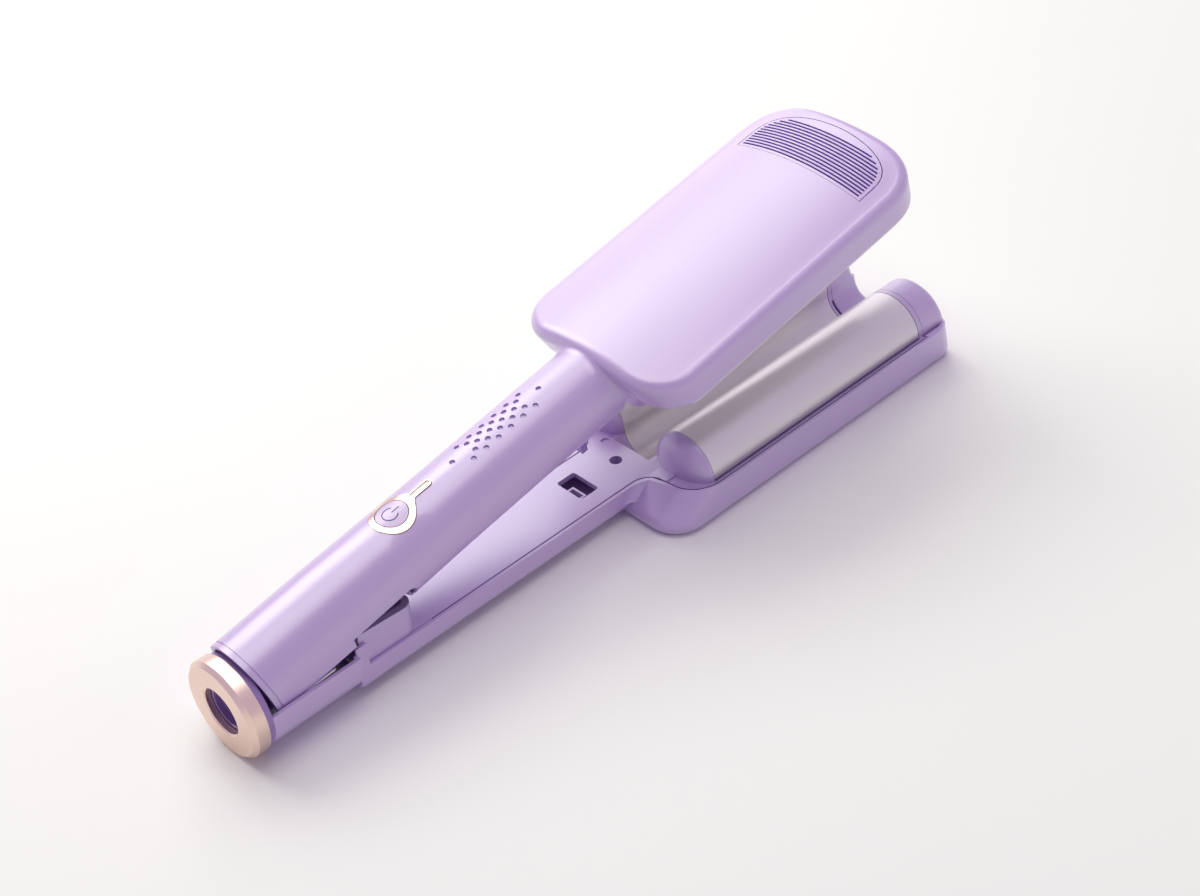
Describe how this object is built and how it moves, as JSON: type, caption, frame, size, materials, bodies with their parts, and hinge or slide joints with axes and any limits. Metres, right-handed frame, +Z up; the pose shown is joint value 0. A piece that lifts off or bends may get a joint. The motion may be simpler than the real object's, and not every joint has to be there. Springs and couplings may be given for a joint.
{
  "type": "hair waver",
  "caption": "Handheld hair waver: two hinged arms, sprung open, with a heated wave plate in the lower head and a matching ridge plate in the upper head, and a button on the handle.",
  "frame": {"origin": "centre of the tail ring's hole at the ring's end face", "axes": "+X from the tail to the tip of the heads, +Y to the left, +Z up"},
  "size_m": [0.311, 0.08, 0.0939],
  "materials": {
    "lilac_shell": "satin lilac",
    "lilac_button": "satin lilac",
    "violet_plastic": "matt violet",
    "rose_gold": "brushed champagne gold",
    "silver_plate": "satin silver coating",
    "heater_black": "matt",
    "switch_black": "matt",
    "spring_steel": "bright",
    "screw_steel": "bright",
    "mica": "matt",
    "washer_nylon": "matt",
    "fuse_ceramic": "matt",
    "sensor_bead": "gloss",
    "circuit_board": "satin",
    "led_clear": "clear",
    "indicator_lens": "frosted",
    "lead_sleeve": "matt"
  },
  "bodies": {
    "lower_arm": {"lower_shell": "lilac_shell", "lower_cover": "lilac_shell", "tail_collar": "violet_plastic", "tail_ring": "rose_gold", "lower_plate": "silver_plate", "lower_heaters": "heater_black", "lower_heater_clamps": "spring_steel", "lower_insulation": "mica", "thermal_fuse": "fuse_ceramic", "latch_catch": "violet_plastic", "hinge_pin": "spring_steel", "torsion_spring": "spring_steel", "hinge_washers": "washer_nylon", "lower_screw": "screw_steel", "lower_leads": "lead_sleeve"},
    "upper_arm": {"upper_shell": "lilac_shell", "upper_cover": "lilac_shell", "handle_strip": "lilac_shell", "upper_plate": "silver_plate", "upper_heater": "heater_black", "upper_insulation": "mica", "temperature_sensor": "sensor_bead", "tip_grille": "lilac_shell", "button_trim": "rose_gold", "indicator_lens": "indicator_lens", "circuit_board": "circuit_board", "tact_switch": "switch_black", "indicator_led": "led_clear", "latch_hook": "violet_plastic", "upper_screws": "screw_steel"},
    "power_button": {"power_button": "lilac_button"},
    "cord_swivel": {"cord_swivel": "violet_plastic"}
  },
  "joints": [
    {"name": "arm_hinge", "type": "hinge", "parent": "lower_arm", "child": "upper_arm", "pos_m": [0.05, 0, 0.002], "axis": [0, 1, 0], "range_deg": [0, 10.5], "stiffness_Nm_per_rad": 3, "springref_deg": -20.05},
    {"name": "button_press", "type": "slide", "parent": "upper_arm", "child": "power_button", "axis": [0.184, 0, -0.9829], "range_m": [0, 0.0006], "stiffness_N_per_m": 600, "springref_m": -0.001},
    {"name": "swivel_turn", "type": "hinge", "parent": "lower_arm", "child": "cord_swivel", "pos_m": [0.005, 0, 0], "axis": [1, 0, 0], "continuous": true}
  ]
}
